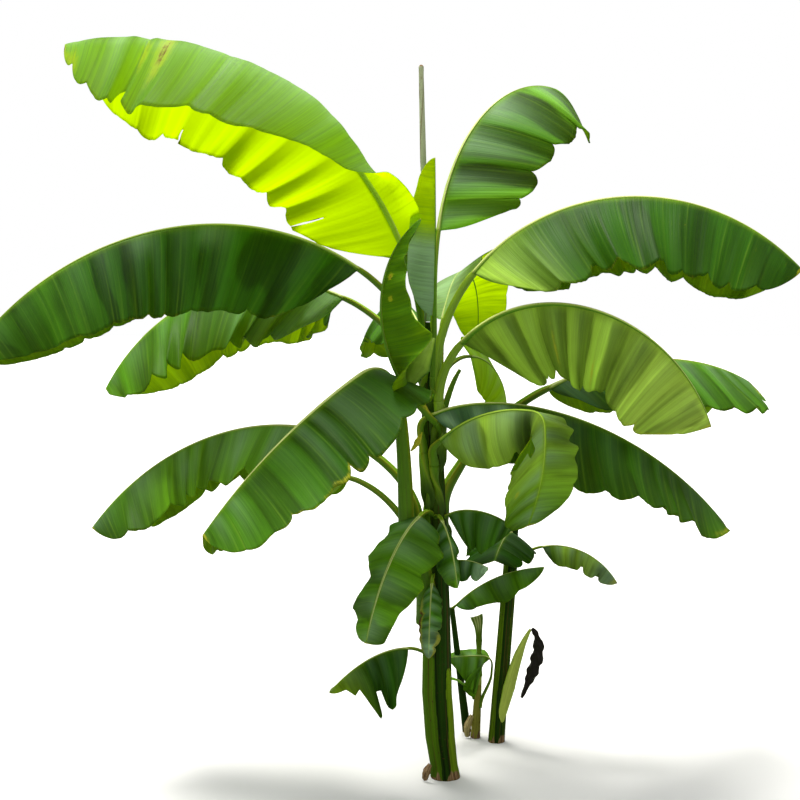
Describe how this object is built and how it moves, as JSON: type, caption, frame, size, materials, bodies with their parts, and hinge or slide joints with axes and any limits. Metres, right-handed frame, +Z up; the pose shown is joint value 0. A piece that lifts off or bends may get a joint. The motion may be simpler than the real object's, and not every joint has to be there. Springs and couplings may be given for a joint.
{
  "type": "banana plant",
  "caption": "Clump-forming garden banana plant with a sheathed main stem, a spreading crown of long arching leaves, a rolled spike leaf, a second stem and small drooping low leaves.",
  "frame": {"origin": "on the ground, at the middle of the main stem's flat cut", "axes": "+Z up along the stems, +X to the right of the plant's front view, +Y to its back"},
  "size_m": [2.7202, 1.6964, 2.4279],
  "materials": {
    "stem": "satin",
    "stalk": "satin",
    "leaf": "satin",
    "young_leaf": "satin",
    "dry": "matte",
    "withered": "matte"
  },
  "bodies": {
    "root": {"main_stem": "stem", "second_stem": "stem", "thin_stem": "stem", "sucker_stem": "stem", "rolled_leaf": "young_leaf", "stalk_left_high": "stalk", "stalk_left_long": "stalk", "stalk_left_back": "stalk", "stalk_left_low": "stalk", "stalk_front_left": "stalk", "stalk_left_small": "stalk", "stalk_front_upright": "stalk", "stalk_young_upright": "stalk", "stalk_right_upright": "stalk", "stalk_right_long": "stalk", "stalk_right_front": "stalk", "stalk_right_back": "stalk", "stalk_back_right": "stalk", "stalk_right_drooping": "stalk", "stalk_right_folded": "stalk", "stalk_right_dark": "stalk", "stalk_back_left": "stalk", "leaf_left_high": "leaf", "leaf_left_long": "leaf", "leaf_left_back": "leaf", "leaf_left_low": "leaf", "leaf_front_left": "leaf", "leaf_left_small": "leaf", "leaf_front_upright": "leaf", "leaf_young_upright": "young_leaf", "leaf_right_upright": "leaf", "leaf_right_long": "leaf", "leaf_right_front": "leaf", "leaf_right_back": "leaf", "leaf_back_right": "leaf", "leaf_right_drooping": "leaf", "leaf_right_folded": "leaf", "leaf_right_dark": "leaf", "leaf_back_left": "leaf", "leaf_low_front": "leaf", "leaf_low_tattered": "leaf", "leaf_low_narrow": "leaf", "leaf_low_broad": "leaf", "leaf_second_front": "leaf", "leaf_low_ragged": "leaf", "leaf_low_striped": "leaf", "leaf_second_right": "leaf", "leaf_thin_right": "leaf", "leaf_sucker_front": "leaf", "leaf_sucker_side": "leaf", "withered_stalk": "stalk", "withered_leaf": "withered", "dry_sheath_front": "dry", "dry_sheath_side": "dry", "dry_stub": "stalk", "sucker_roll": "young_leaf"}
  },
  "joints": []
}
